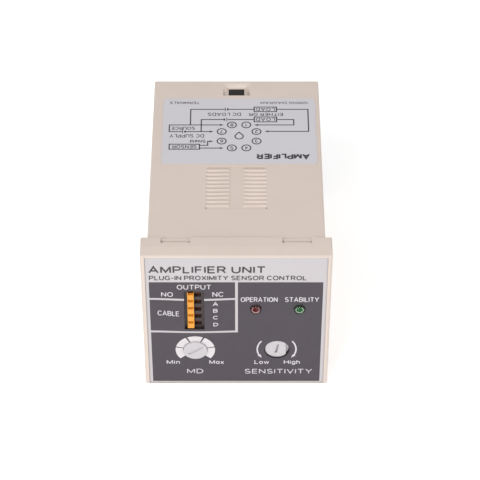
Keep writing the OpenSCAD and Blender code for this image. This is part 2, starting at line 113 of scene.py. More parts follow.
def moulded(name, colour, roughness, grain_mm=0.12, depth_mm=0.004, patch_mm=9, vary=0.03, **sockets):
    """Moulded plastic: a fine eroded grain, and slow changes of colour and gloss."""
    material, tree, shader = new_material(name, colour, roughness, **sockets)
    slow = noise(tree, patch_mm, 2)
    stops = [(0.3, shade(colour, 1 - vary)), (0.7, shade(colour, 1 + vary))]
    tree.links.new(ramp(tree, slow, stops), shader.inputs["Base Color"])
    stops = [(0.3, (roughness * 0.9,) * 3), (0.7, (roughness * 1.1,) * 3)]
    gloss = ramp(tree, noise(tree, patch_mm / 3, 3), stops)
    tree.links.new(gloss, shader.inputs["Roughness"])
    add_bump(tree, shader, noise(tree, grain_mm, 2), depth_mm, 0.5)
    return material


def metal(name, colour, roughness, stretch=(1, 1, 1)):
    """Metal with fine drawing marks."""
    material, tree, shader = new_material(name, colour, roughness, Metallic=1.0)
    marks = noise(tree, 0.25, 4, stretch)
    stops = [(0.3, shade(colour, 0.85)), (0.7, shade(colour, 1.08))]
    tree.links.new(ramp(tree, marks, stops), shader.inputs["Base Color"])
    add_bump(tree, shader, marks, 0.004, 0.3)
    return material


def circuit_board():
    """Green solder mask with copper tracks that show faintly through it."""
    green = (0.03, 0.15, 0.06)
    material, tree, shader = new_material("circuit_board", green, 0.35)
    tracks = tree.nodes.new("ShaderNodeTexBrick")
    tracks.inputs["Scale"].default_value = 1
    tracks.inputs["Brick Width"].default_value = 3.1
    tracks.inputs["Row Height"].default_value = 1.27
    tracks.inputs["Mortar Size"].default_value = 0.14
    tracks.inputs["Color1"].default_value = (*green, 1)
    tracks.inputs["Color2"].default_value = (*shade(green, 0.8), 1)
    tracks.inputs["Mortar"].default_value = (*shade(green, 1.9), 1)
    where = tree.nodes.new("ShaderNodeTexCoord")
    turn = tree.nodes.new("ShaderNodeMapping")
    turn.inputs["Rotation"].default_value = (math.radians(90), 0, 0)
    turn.inputs["Scale"].default_value = (1 / MM,) * 3
    tree.links.new(where.outputs["Object"], turn.inputs["Vector"])
    tree.links.new(turn.outputs["Vector"], tracks.inputs["Vector"])
    tree.links.new(tracks.outputs["Color"], shader.inputs["Base Color"])
    add_bump(tree, shader, tracks.outputs["Fac"], 0.02, 0.5)
    return material


def lamp_resin(name, colour):
    """Clear tinted epoxy, a little cloudy."""
    material, tree, shader = new_material(name, colour, 0.05, Transmission_Weight=1.0, IOR=1.25)
    stops = [(0.35, shade(colour, 0.9)), (0.65, shade(colour, 1.1))]
    cloud = ramp(tree, noise(tree, 0.7, 2), stops)
    tree.links.new(cloud, shader.inputs["Base Color"])
    return material


IVORY = moulded("ivory_plastic", (0.567, 0.483, 0.428), 0.5, vary=0.015)
FILM_LIGHT = moulded("film_light_grey", (0.447, 0.42, 0.433), 0.38, 0.2, 0.002, 14, 0.012)
FILM_DARK = moulded("film_dark_grey", (0.038, 0.0285, 0.0385), 0.42, 0.16, 0.003, 6, 0.04)
INK_WHITE = moulded("ink_white", (0.54, 0.51, 0.53), 0.5, 0.1, 0.002, 3, 0.02)
SCALE_WHITE = moulded("scale_white", (0.57, 0.54, 0.55), 0.5, 0.1, 0.002, 3, 0.02)
INK_DARK = moulded("ink_dark", (0.035, 0.03, 0.035), 0.5, 0.1, 0.002, 3, 0.06)
LABEL_GREY = moulded("label_grey", (0.515, 0.50, 0.527), 0.36, 0.3, 0.002, 12, 0.012)
BLACK = moulded(
    "black_phenolic", (0.012, 0.011, 0.010), 0.38, 0.2, 0.003, 5, 0.1, Specular_IOR_Level=0.35)
SWITCH_BLACK = moulded("switch_black", (0.036, 0.023, 0.024), 0.5, 0.12, 0.004, 3, 0.1)
ORANGE = moulded("slider_orange", (0.68, 0.28, 0.0165), 0.42, 0.15, 0.004, 2, 0.06)
# Painted shade on the sliders: a darker orange stands for shadow in the head's recess, and a dark brown for
# the orange foot in deep shadow inside the switch.
ORANGE_PAINTED_SHADE = moulded("slider_recess_painted_shade", (0.60, 0.21, 0.008), 0.5, 0.15, 0.004, 2, 0.06)
SLIDER_FOOT_PAINTED_SHADE = moulded("slider_foot_painted_shade", (0.10, 0.03, 0.008), 0.5, 0.15, 0.004, 2, 0.1)
WHITE = moulded("adjuster_white", (0.46, 0.435, 0.45), 0.35, 0.15, 0.003, 3, 0.015)
NICKEL = metal("nickel_plate", (0.62, 0.60, 0.55), 0.28, (1, 0.15, 1))
BRASS = metal("tinned_brass", (0.66, 0.56, 0.36), 0.35)
STEEL = metal("zinc_steel", (0.55, 0.56, 0.57), 0.35)
RED = lamp_resin("lamp_red", (0.88, 0.55, 0.55))
GREEN = lamp_resin("lamp_green", (0.60, 0.88, 0.66))
DEEP_RED = moulded("lamp_red_inside", (0.06, 0.001, 0.001), 0.4, Specular_IOR_Level=0.2)
DEEP_GREEN = moulded("lamp_green_inside", (0.008, 0.08, 0.022), 0.4, Specular_IOR_Level=0.2)
# Pale lead frame of the lamps, which is also a painted highlight: its colour stands for the bright
# reflection ring on the lens.
FRAME_AND_PAINTED_HIGHLIGHT = moulded("lamp_frame_painted_highlight", (0.62, 0.56, 0.56), 0.4)

PLAIN = {
    "switch_brown": moulded("switch_brown", (0.10, 0.03, 0.012), 0.45, 0.3, 0.004, 3, 0.1),
    "pot_grey": moulded("pot_grey", (0.07, 0.07, 0.075), 0.5),
    "carbon_track": moulded("carbon_track", (0.04, 0.025, 0.02), 0.6),
    "seal_rubber": moulded("seal_rubber", (0.015, 0.015, 0.015), 0.7),
    "nylon": moulded("nylon", (0.65, 0.62, 0.54), 0.45),
    "trimmer_blue": moulded("trimmer_blue", (0.03, 0.10, 0.36), 0.35),
    "ceramic": moulded("ceramic", (0.75, 0.73, 0.66), 0.6),
    "hybrid_brown": moulded("hybrid_brown", (0.22, 0.07, 0.03), 0.35, 0.4, 0.02, 4, 0.15),
    "chip_black": moulded("chip_black", (0.018, 0.018, 0.018), 0.55),
    "film_red": moulded("film_red", (0.42, 0.07, 0.035), 0.3, 0.5, 0.03, 4, 0.1),
    "sleeve_blue": moulded("sleeve_blue", (0.03, 0.06, 0.16), 0.3),
    "resistor_tan": moulded("resistor_tan", (0.55, 0.42, 0.26), 0.4),
}
FINISH = dict(
    PLAIN, ivory_plastic=IVORY, nameplate_film=FILM_DARK, wiring_film=LABEL_GREY,
    black_phenolic=BLACK, plated_pin=NICKEL, circuit_board=circuit_board(), zinc_steel=STEEL,
    tinned_brass=BRASS, screw_brass=BRASS, switch_black=SWITCH_BLACK, slider_orange=ORANGE,
    lamp_red=RED, lamp_green=GREEN, adjuster_white=WHITE)
SLOT_OF = {part["node"]: part["material_slot"] for part in frame["record"]["subparts"]}


# ---------- making and placing pieces

def paint(piece, material):
    """Gives a piece one material, in place of any it has."""
    piece.data.materials.clear()
    piece.data.materials.append(material)


def new_piece(name, mesh, material, body="unit"):
    """A visible piece with one material, that rides on a body."""
    piece = bpy.data.objects.new(name, mesh)
    bpy.context.scene.collection.objects.link(piece)
    paint(piece, material)
    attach(piece, body)
    return piece


def body_of(node):
    """The body that a CAD node moves with."""
    return next(name for name, nodes in frame["record"]["behaviour"]["bodies"].items() if node in nodes)


SMOOTH_TURN = math.radians(16)  # neighbouring faces that turn less are one curved surface
EDGE_TURN = math.radians(32)  # an outer edge that turns more is rounded
FLAT_TURN = math.radians(0.5)  # faces that turn less are merged


def rounded(node, radius_mm, segments=3, crease_y=None):
    """A copy of a CAD node with its outer edges rounded, which stands for that node.

    The edges in the plane y = crease_y stay crisp, however little they turn.
    """
    mesh = frame["nodes"][node].data.copy()
    work = bmesh.new()
    work.from_mesh(mesh)
    bmesh.ops.remove_doubles(work, verts=work.verts, dist=WELD)
    bmesh.ops.dissolve_limit(work, angle_limit=FLAT_TURN, verts=work.verts, edges=work.edges)
    for face in work.faces:
        face.smooth = True
    weight = work.edges.layers.float.new("bevel_weight_edge")
    for edge in work.edges:
        angle = edge.calc_face_angle_signed(0)
        edge[weight] = float(angle > EDGE_TURN)
        on_crease = crease_y is not None and all(
            abs(v.co.y - crease_y) < 0.001 * MM for v in edge.verts)
        edge.smooth = edge[weight] == 1 or (abs(angle) < SMOOTH_TURN and not on_crease)
    work.to_mesh(mesh)
    work.free()
    slot = SLOT_OF[node]
    piece = new_piece(node + "_moulding", mesh, FINISH[slot], body_of(node))
    bevel = piece.modifiers.new("edges", "BEVEL")
    bevel.width = radius_mm * MM
    bevel.segments = segments
    bevel.limit_method = "WEIGHT"
    piece.modifiers.new("normals", "WEIGHTED_NORMAL").keep_sharp = True
    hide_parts(node)
    return piece


# ---------- printing

BULGE_CENTRE = (-10.2, 3.0)
BULGE_REACH = (11.5, 9.2)
BULGE_HEIGHT = 0.52 * MM


def bulge(x, z):
    """How far the nameplate stands out round the switch, which pushes it from behind."""
    u = (x / MM - BULGE_CENTRE[0]) / BULGE_REACH[0]
    v = (z / MM - BULGE_CENTRE[1]) / BULGE_REACH[1]
    if abs(u) >= 1 or abs(v) >= 1:
        return 0.0
    return BULGE_HEIGHT * (1 - u * u) ** 2 * (1 - v ** 4) ** 2


def on_front(u, v, lift):
    """A point of the front's art: u to the right and v up, in metres, lift above the nameplate."""
    return Vector((u, FILM_Y - lift - bulge(u, v), v))


def on_top(u, v, lift):
    """A point of the top label's art: u to the right and v to the rear, lift above the label."""
    return Vector((u, v, LABEL_Z + lift))


def filled(outlines):
    """A flat mesh that fills closed outlines, lists of (u, v) in millimetres; inner ones are holes."""
    curve = bpy.data.curves.new("outline", "CURVE")
    curve.dimensions = "2D"
    curve.fill_mode = "BOTH"
    for outline in outlines:
        spline = curve.splines.new("POLY")
        spline.points.add(len(outline) - 1)
        for point, (u, v) in zip(spline.points, outline):
            point.co = (u * MM, v * MM, 0, 1)
        spline.use_cyclic_u = True
    holder = bpy.data.objects.new("outline", curve)
    bpy.context.scene.collection.objects.link(holder)
    bpy.context.view_layer.update()
    shown = holder.evaluated_get(bpy.context.evaluated_depsgraph_get())
    mesh = bpy.data.meshes.new_from_object(shown)
    bpy.data.objects.remove(holder)
    bpy.data.curves.remove(curve)
    return mesh


def laid(name, mesh, place, lift, thick, material):
    """Turns a flat mesh into a closed sheet on a face: place maps it, lift is its foot's height.

    On the bulging nameplate every sheet is cut on one grid, so that none sinks into another.
    """
    work = bmesh.new()
    work.from_mesh(mesh)
    bpy.data.meshes.remove(mesh)
    bmesh.ops.delete(work, geom=[v for v in work.verts if not v.link_faces], context="VERTS")
    bmesh.ops.remove_doubles(work, verts=work.verts, dist=WELD)
    if place is on_front:
        for i, normal in ((0, (1, 0, 0)), (1, (0, 1, 0))):
            lo = min(v.co[i] for v in work.verts)
            hi = max(v.co[i] for v in work.verts)
            for k in range(math.ceil(lo / CELL), math.floor(hi / CELL) + 1):
                everything = work.verts[:] + work.edges[:] + work.faces[:]
                middle = Vector(normal) * k * CELL
                bmesh.ops.bisect_plane(
                    work, geom=everything, dist=0.002 * MM, plane_co=middle, plane_no=normal)
    for face in work.faces:
        if face.normal.z < 0:
            face.normal_flip()
    flat = {v: (v.co.x, v.co.y) for v in work.verts}
    top = {v: work.verts.new(place(*at, lift + thick)) for v, at in flat.items()}
    rims = [e for e in work.edges if len(e.link_faces) == 1]
    sides = [(e.link_loops[0].vert, e.link_loops[0].link_loop_next.vert) for e in rims]
    for face in work.faces[:]:
        work.faces.new([top[v] for v in face.verts])
    for a, b in sides:
        work.faces.new([a, b, top[b], top[a]])
    for v, at in flat.items():
        v.co = place(*at, lift)
    bmesh.ops.recalc_face_normals(work, faces=work.faces)
    result = bpy.data.meshes.new(name)
    work.to_mesh(result)
    work.free()
    return new_piece(name, result, material)


def spans(points):
    """Directions into and out of each point of a line; a closed line repeats its first point."""
    closed = (points[0] - points[-1]).length < 1e-6
    steps = [(b - a).normalized() for a, b in zip(points, points[1:])]
    first = steps[-1] if closed else steps[0]
    last = steps[0] if closed else steps[-1]
    return list(zip([first, *steps], [*steps, last]))


def within(point, corners):
    """Whether a point lies in a convex outline that runs anticlockwise."""
    around = zip(corners, corners[1:] + corners[:1])
    return all((b - a).cross(point - a) > -1e-9 for a, b in around)


def inked(groups, width):
    """A flat mesh of lines of one width, in groups; the lines of a group are joined where they cross.

    A line is a list of (u, v) in millimetres.
    """
    places, covered = [], []
    for lines in groups:
        verts, quads = [], []
        for line in lines:
            points = [Vector(p) for p in line]
            base = len(verts)
            for p, (before, after) in zip(points, spans(points)):
                side = Vector((-(before + after).y, (before + after).x)).normalized()
                reach = width / 2 / max(0.45, side.dot(Vector((-before.y, before.x))))
                verts += [p - side * reach, p + side * reach]
            quads += [[k, k + 2, k + 3, k + 1] for k in range(base, len(verts) - 2, 2)]
        corners = [[verts[k] for k in quad] for quad in quads]
        cut = delaunay_2d_cdt(verts, [], quads, 0, 1e-5)
        for triangle in cut[2]:
            middle = sum((cut[0][k] for k in triangle), Vector((0, 0))) / len(triangle)
            if any(within(middle, quad) for quad in corners):
                covered.append([len(places) + k for k in triangle])
        places += [(v.x * MM, v.y * MM, 0) for v in cut[0]]
    mesh = bpy.data.meshes.new("ink")
    mesh.from_pydata(places, [], covered)
    return mesh


def arc(u, v, across, up, start, end):
    """Part of an ellipse, as a list of points."""
    steps = max(3, int(abs(end - start) / 15))
    turns = [math.radians(start + (end - start) * k / steps) for k in range(steps + 1)]
    return [(u + across * math.cos(t), v + up * math.sin(t)) for t in turns]


# Letters a unit tall: each its width, then its lines
LETTERS = {
    "A": (0.86, [(0, 0), (0.43, 1), (0.86, 0)], [(0.15, 0.32), (0.71, 0.32)]),
    "B": (0.7, [(0, 0), (0, 1), (0.42, 1), *arc(0.42, 0.76, 0.24, 0.24, 90, -90)[1:], (0, 0.52)],
          [(0, 0.52), (0.43, 0.52), *arc(0.43, 0.26, 0.27, 0.26, 90, -90)[1:], (0, 0)]),
    "C": (0.8, arc(0.43, 0.5, 0.43, 0.5, 40, 320)),
    "D": (0.76, [(0, 0), (0, 1), (0.32, 1), *arc(0.32, 0.5, 0.44, 0.5, 90, -90)[1:], (0, 0)]),
    "E": (0.64, [(0.64, 1), (0, 1), (0, 0), (0.64, 0)], [(0, 0.52), (0.58, 0.52)]),
    "F": (0.6, [(0.6, 1), (0, 1), (0, 0)], [(0, 0.5), (0.54, 0.5)]),
    "G": (0.86, [*arc(0.43, 0.5, 0.43, 0.5, 40, 345), (0.86, 0.47), (0.5, 0.47)]),
    "H": (0.76, [(0, 0), (0, 1)], [(0.76, 0), (0.76, 1)], [(0, 0.52), (0.76, 0.52)]),
    "I": (0, [(0, 0), (0, 1)]),
    "L": (0.56, [(0, 1), (0, 0), (0.56, 0)]),
    "M": (0.9, [(0, 0), (0, 1)], [(0, 1), (0.45, 0.12), (0.9, 1)], [(0.9, 1), (0.9, 0)]),
    "N": (0.76, [(0, 0), (0, 1)], [(0, 1), (0.76, 0)], [(0.76, 0), (0.76, 1)]),
    "O": (0.88, arc(0.44, 0.5, 0.44, 0.5, 0, 360)),
    "P": (0.68, [(0, 0), (0, 1), (0.4, 1), *arc(0.4, 0.73, 0.28, 0.27, 90, -90)[1:], (0, 0.46)]),
    "R": (0.72, [(0, 0), (0, 1), (0.4, 1), *arc(0.4, 0.74, 0.28, 0.26, 90, -90)[1:], (0, 0.48)],
          [(0.4, 0.48), (0.72, 0)]),
    "S": (0.7, [*arc(0.35, 0.745, 0.31, 0.255, 30, 270), *arc(0.35, 0.245, 0.35, 0.245, 90, -150)[1:]]),
    "T": (0.76, [(0, 1), (0.76, 1)], [(0.38, 1), (0.38, 0)]),
    "U": (0.74, [(0, 1), *arc(0.37, 0.37, 0.37, 0.37, 180, 360), (0.74, 1)]),
    "V": (0.82, [(0, 1), (0.41, 0), (0.82, 1)]),
    "W": (1.12, [(0, 1), (0.28, 0), (0.56, 1), (0.84, 0), (1.12, 1)]),
    "X": (0.78, [(0, 0), (0.78, 1)], [(0, 1), (0.78, 0)]),
    "Y": (0.82, [(0, 1), (0.41, 0.45), (0.82, 1)], [(0.41, 0.45), (0.41, 0)]),
    "a": (0.52, arc(0.26, 0.36, 0.26, 0.36, 0, 360), [(0.52, 0.72), (0.52, 0)]),
    "d": (0.52, arc(0.26, 0.36, 0.26, 0.36, 0, 360), [(0.52, 1), (0.52, 0)]),
    "e": (0.54, [(0.01, 0.38), *arc(0.27, 0.36, 0.27, 0.36, 3, 315)]),
    "g": (0.52, arc(0.26, 0.36, 0.26, 0.36, 0, 360), [(0.52, 0.72), *arc(0.26, -0.04, 0.26, 0.22, 0, -150)]),
    "h": (0.48, [(0, 0), (0, 1)], [*arc(0.24, 0.46, 0.24, 0.26, 180, 0), (0.48, 0)]),
    "i": (0, [(0, 0), (0, 0.72)], [(0, 0.88), (0, 1)]),
    "l": (0, [(0, 0), (0, 1)]),
    "n": (0.48, [(0, 0), (0, 0.72)], [*arc(0.24, 0.46, 0.24, 0.26, 180, 0), (0.48, 0)]),
    "o": (0.56, arc(0.28, 0.36, 0.28, 0.36, 0, 360)),
    "w": (0.8, [(0, 0.72), (0.2, 0), (0.4, 0.7), (0.6, 0), (0.8, 0.72)]),
    "x": (0.5, [(0, 0), (0.5, 0.72)], [(0, 0.72), (0.5, 0)]),
    "1": (0.25, [(0, 0.76), (0.25, 1), (0.25, 0)]),
    "2": (0.6, [*arc(0.3, 0.7, 0.3, 0.3, 165, -35), (0, 0), (0.6, 0)]),
    "3": (0.58, arc(0.27, 0.75, 0.26, 0.25, 155, -90), arc(0.27, 0.25, 0.3, 0.25, 90, -155)),
    "4": (0.64, [(0.48, 0), (0.48, 1), (0, 0.28), (0.64, 0.28)]),
    "5": (0.6, [(0.54, 1), (0.08, 1), (0.03, 0.5), *arc(0.29, 0.32, 0.31, 0.32, 125, -150)]),
    "6": (0.6, arc(0.3, 0.32, 0.3, 0.32, 0, 360), arc(0.5, 0.34, 0.5, 0.66, 180, 95)),
    "7": (0.58, [(0, 1), (0.58, 1), (0.2, 0)]),
    "8": (0.6, arc(0.3, 0.26, 0.3, 0.26, 0, 360), arc(0.3, 0.76, 0.25, 0.24, 0, 360)),
    "-": (0.34, [(0, 0.45), (0.34, 0.45)]),
}


LETTER_GAP = 0.32
WORD_GAP = 0.38


def lettering(name, text, box, width, place, material, lift=INK, turned=False):
    """Text in lines of one width that fill a box (left, right, low, high); turned reads from the rear."""
    insets = (width / 2, -width / 2) * 2
    left, right, low, high = [edge + inset for edge, inset in zip(box, insets)]
    letters, along = [], 0
    for letter in text:
        if letter == " ":
            along += WORD_GAP
            continue
        wide, *strokes = LETTERS[letter]
        letters.append([[(along + u, v) for u, v in line] for line in strokes])
        along += wide + LETTER_GAP
    scale = (right - left) / max(along - LETTER_GAP, 0.01)
    place_u = (lambda u: right - u * scale) if turned else (lambda u: left + u * scale)
    place_v = (lambda v: high - v * (high - low)) if turned else (lambda v: low + v * (high - low))
    letters = [
        [[(place_u(u), place_v(v)) for u, v in line] for line in letter] for letter in letters]
    laid(name, inked(letters, width), place, lift, INK, material)


def rectangle(left, right, low, high, corner=0.0):
    """Outline of a rectangle, with round corners if a corner radius is given."""
    if not corner:
        return [(left, low), (right, low), (right, high), (left, high)]
    centres = [(right - corner, high - corner, 0), (left + corner, high - corner, 90),
               (left + corner, low + corner, 180), (right - corner, low + corner, 270)]
    return [polar((u, v), corner, start + turn) for u, v, start in centres for turn in range(0, 91, 15)]


def polar(centre, radius, degrees):
    """The point at a distance and a direction from a centre."""
    angle = math.radians(degrees)
    return (centre[0] + radius * math.cos(angle), centre[1] + radius * math.sin(angle))


def circle(centre, radius, steps=48):
    """Outline of a circle."""
    return [polar(centre, radius, 360 * k / steps) for k in range(steps)]


def sector(centre, inner, outer, start, end):
    """Outline of a piece of a ring between two directions in degrees."""
    steps = max(2, int(abs(end - start) / 4))
    turns = [start + (end - start) * k / steps for k in range(steps + 1)]
    return [polar(centre, outer, t) for t in turns] + [polar(centre, inner, t) for t in reversed(turns)]


# ---------- front panel

# Places in millimetres: boxes are left, right, low, high and centres are u, v
WINDOW = (-13.25, -8.15, -2.4, 11.3)
LAMPS = [(4.93, 4.8), (16.1, 4.8)]
DIAL = (-10.67, -10.5)
ADJUSTER = (10.55, -10.5)
FIELD = (-22.0, 21.9, -22.7, 14.5)
LAMP_HOLE = 1.5
DIAL_HOLE = 3.16
ADJUSTER_HOLE = 3.3
DIAL_RING = 5.12
SCALE_START = -40
SCALE_STEP = 52
ARROW_RING = 5.04


def front_holes():
    """Outlines of the nameplate's openings, the window first."""
    return [rectangle(*WINDOW), *[circle(p, LAMP_HOLE) for p in LAMPS],
            circle(DIAL, DIAL_HOLE, 72), circle(ADJUSTER, ADJUSTER_HOLE, 72)]


def nameplate():
    """The light film, dark on the walls of its openings."""
    low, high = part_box("nameplate")
    outline = rectangle(low.x / MM, high.x / MM, low.z / MM, high.z / MM, 0.4)
    sheet = filled([outline, *front_holes()])
    thick = high.y - low.y
    film = laid("nameplate_film", sheet, on_front, -thick, thick, FILM_LIGHT)
    film.data.materials.append(FILM_DARK)
    for side in film.data.polygons:
        inside = max(abs(side.center.x), abs(side.center.z)) < 22.5 * MM
        if inside and abs(side.normal.y) < 0.5:
            side.material_index = 1
    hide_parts("nameplate")


def dark_fields():
    """Three dark fields, which leave light lines between them."""
    left, right, low, high = FIELD
    window_left, window_right, window_low, window_high = WINDOW
    bar_low, bar_high = 8.17, 8.82
    foot_low, foot_high = -3.9, -3.2
    post_left, post_right = -0.3, 0.4
    upper = [
        (left, bar_high), (window_left, bar_high), (window_left, window_high),
        (window_right, window_high), (window_right, bar_high), (post_left, bar_high),
        (post_left, high), (left, high)]
    lower = [
        (left, foot_high), (post_left, foot_high), (post_left, bar_low), (window_right, bar_low),
        (window_right, window_low), (window_left, window_low), (window_left, bar_low),
        (left, bar_low)]
    rest = [
        (left, low), (right, low), (right, high), (post_right, high), (post_right, foot_low),
        (left, foot_low)]
    holes = front_holes()[1:]
    fields = [("field_output", [upper]), ("field_cable", [lower]), ("field_main", [rest, *holes])]
    for name, outlines in fields:
        laid(name, filled(outlines), on_front, 0, INK, FILM_DARK)


def front_words():
    """Two generic titles and the legends of the controls."""
    titles = [
        ("title_unit", "AMPLIFIER UNIT", (-22.0, 7.4, 17.65, 20.2), 0.47),
        ("title_kind", "PLUG-IN PROXIMITY SENSOR CONTROL", (-21.9, 17.7, 15.2, 16.85), 0.29)]
    for name, text, box, width in titles:
        lettering(name, text, box, width, on_front, INK_DARK, lift=0)
    legends = [
        ("OUTPUT", -15, -6.3, 11.9, 13.6),
        ("NO", -19.0, -16.0, 9.4, 11.0),
        ("NC", -6.05, -3.2, 9.45, 11.1),
        ("CABLE", -20.1, -14.5, 2.5, 4.3),
        ("A", -6.0, -4.6, 6.25, 7.65),
        ("B", -5.9, -4.75, 3.83, 5.18),
        ("C", -5.95, -4.65, 1.31, 2.66),
        ("D", -5.9, -4.65, -1.27, 0.08),
        ("OPERATION", 1.1, 10.5, 7.4, 9.1),
        ("STABILITY", 12.3, 21.0, 7.4, 9.1),
        ("Min", -18.25, -14.8, -16.0, -14.5),
        ("Max", -7.1, -3.25, -16.0, -14.5),
        ("MD", -12.95, -8.7, -19.65, -17.9),
        ("Low", 4.7, 8.55, -16.0, -14.5),
        ("High", 12.4, 16.6, -16.0, -14.5),
        ("SENSITIVITY", 2.15, 19.9, -19.75, -17.95)]
    for text, *box in legends:
        lettering("legend_" + text, text, box, 0.23, on_front, INK_WHITE)


def dial_scale():
    """White ring round the dial, cut into five sectors by four ticks; the upper two are wider."""
    gaps = [0, 2.0, 2.8, 2.8, 2.0, 0]
    for k in range(5):
        start = SCALE_START + k * SCALE_STEP + gaps[k]
        end = SCALE_START + (k + 1) * SCALE_STEP - gaps[k + 1]
        sheet = filled([sector(DIAL, DIAL_HOLE + 0.02, DIAL_RING, start, end)])
        laid("scale_%d" % (k + 1), sheet, on_front, INK, INK, SCALE_WHITE)


def turn_arrows():
    """Two arcs beside the sensitivity adjuster, with their heads down."""
    centre = (ADJUSTER[0] - 0.09, ADJUSTER[1] + 0.17)
    for name, start, end, side in (("arrow_low", 142, 206, 1), ("arrow_high", 38, -26, -1)):
        shaft = sector(centre, ARROW_RING - 0.2, ARROW_RING + 0.2, start, end)
        head = [
            polar(centre, ARROW_RING - 0.45, end), polar(centre, ARROW_RING + 0.45, end - side),
            polar(centre, ARROW_RING, end + side * 14)]
        for part, outline in (("", shaft), ("_head", head)):
            laid(name + part, filled([outline]), on_front, INK, INK, INK_WHITE)


# ---------- wiring label

# Places in millimetres, from the axis of the unit and from the rear of its bezel
PIN_CENTRE = (0.7, 40.0)
PIN_RING = 5.0
PIN_MARK = 1.33
LINE = 0.32


def on_label(name, mesh):
    """One dark mark on the label."""
    laid(name, mesh, on_top, 0, INK, INK_DARK)


def label_line(name, points):
    """A line of the diagram."""
    on_label(name, inked([[points]], LINE))


def label_text(name, text, box, width):
    """Words on the label, which read from the rear."""
    lettering(name, text, box, width, on_top, INK_DARK, 0, True)


def wiring_label():
    """The blank label."""
    low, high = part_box("wiring_label")
    outline = rectangle(low.x / MM, high.x / MM, low.y / MM, high.y / MM, 1.0)
    thick = high.z - low.z
    film = laid("wiring_film", filled([outline]), on_top, -thick, thick, LABEL_GREY)
    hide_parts("wiring_label")


def pin_places():
    """Centres of the eight pin marks, as seen on the plug."""
    return [polar(PIN_CENTRE, PIN_RING, 67.5 - 45 * k) for k in range(8)]


def pin_marks():
    """Eight ringed numbers round the mark of the keyed post."""
    for k, centre in enumerate(pin_places()):
        ring = [circle(centre, PIN_MARK, 32), circle(centre, PIN_MARK - LINE, 32)]
        on_label("pin_ring_%d" % (k + 1), filled(ring))
        u, v = centre
        half = 0.2 if k == 0 else 0.42
        box = (u - half, u + half, v - 0.65, v + 0.65)
        label_text("pin_number_%d" % (k + 1), str(k + 1), box, 0.2)
    across, along = PIN_CENTRE
    key = [polar(PIN_CENTRE, 1.25, t) for t in range(-225, 46, 15)]
    key.append((across, along + 1.9))
    inner = [(across + (u - across) * 0.74, along + (v - along) * 0.74) for u, v in key]
    on_label("key_mark", filled([key, inner]))


def arrow_to(name, points, towards):
    """A line that ends in an arrowhead; towards is 1 to the right and -1 to the left."""
    label_line(name, points)
    tip = points[-1]
    base = tip[0] - towards * 0.2
    head = [(base, tip[1] - 0.38), (base + towards * 1.05, tip[1]), (base, tip[1] + 0.38)]
    on_label(name + "_head", filled([head]))


def battery(name, u, v, towards):
    """A cell: a long thin plate and a short thick one across a line."""
    plates = [
        rectangle(u - 0.3, u - 0.12, v - 0.75, v + 0.75),
        rectangle(u + 0.2, u + 0.65, v - 0.4, v + 0.4)]
    if towards < 0:
        plates = [[(2 * u - a, b) for a, b in plate] for plate in plates]
    for k, plate in enumerate(plates):
        on_label("%s_%d" % (name, k + 1), filled([plate]))


def open_box(name, left, right, low, high):
    """A box drawn in outline."""
    outer = rectangle(left, right, low, high)
    inner = rectangle(left + LINE, right - LINE, low + LINE, high - LINE)
    on_label(name, filled([outer, inner]))


def wiring_diagram():
    """Two loads, a source and a sensor, joined to the pin marks, and the label's words."""
    open_box("load_1", 4.6, 10.9, 49.9, 52.1)
    open_box("load_2", 4.6, 10.9, 45.7, 48.0)
    open_box("sensor_head", -17.9, -9.6, 34.7, 37.0)
    upper = 51.0
    lower = 46.8
    label_line("loop_1_left", [(4.6, upper), (-2.15, upper)])
    label_line("loop_1_rest", [(-3.1, upper), (-12.3, upper), (-12.3, 44.6)])
    battery("cell_1", -2.8, upper, 1)
    arrow_to("loop_1_right", [(10.9, upper), (19.2, upper), (19.2, 42.0), (8.3, 42.0)], -1)
    label_line("loop_2_left", [(4.6, lower), (-2.4, lower)])
    label_line("loop_2_rest", [(-3.3, lower), (-9.4, lower), (-9.4, 41.9)])
    battery("cell_2", -2.8, lower, -1)
    arrow_to("loop_2_right", [(10.9, lower), (15.3, lower), (15.3, 44.6), (5.5, 44.6)], -1)
    arrow_to("source_top", [(-17.9, 43.4), (-17.9, 44.6), (-4.2, 44.6)], 1)
    label_line("source_low", [(-17.9, 43.4), (-17.9, 41.9), (-14.4, 41.9)])
    battery("cell_3", -14.1, 41.9, 1)
    arrow_to("source_out", [(-13.5, 41.9), (-6.9, 41.9)], 1)
    arrow_to("shield", [(-9.6, 36.4), (-7.6, 36.4), (-7.6, 38.0), (-6.9, 38.0)], 1)
    arrow_to("signal", [(-9.6, 35.3), (-4.2, 35.3)], 1)
    words = [
        ("LOAD", 5.2, 10.3, 50.4, 51.6, 0.2),
        ("LOAD", 5.2, 10.3, 46.2, 47.5, 0.2),
        ("SOURCE", -17.4, -11.0, 42.6, 43.9, 0.2),
        ("DC SUPPLY", -17.8, -8.6, 39.5, 40.9, 0.2),
        ("Shield", -12.3, -8.1, 37.4, 38.6, 0.2),
        ("SENSOR", -17.0, -10.5, 35.2, 36.5, 0.2),
        ("DC LOADS", -7.7, 1.2, 48.3, 49.6, 0.2),
        ("EITHER OR", 3.3, 12.5, 48.3, 49.5, 0.2),
        ("AMPLIFIER", 5.2, 19.3, 31.0, 33.1, 0.5),
        ("TERMINALS", -18.0, -10.0, 53.2, 54.2, 0.15),
        ("WIRING DIAGRAM", 6.5, 19.3, 53.2, 54.2, 0.15)]
    for k, (text, *box, width) in enumerate(words):
        label_text("label_words_%d" % (k + 1), text, box, width)


# ---------- switch sliders

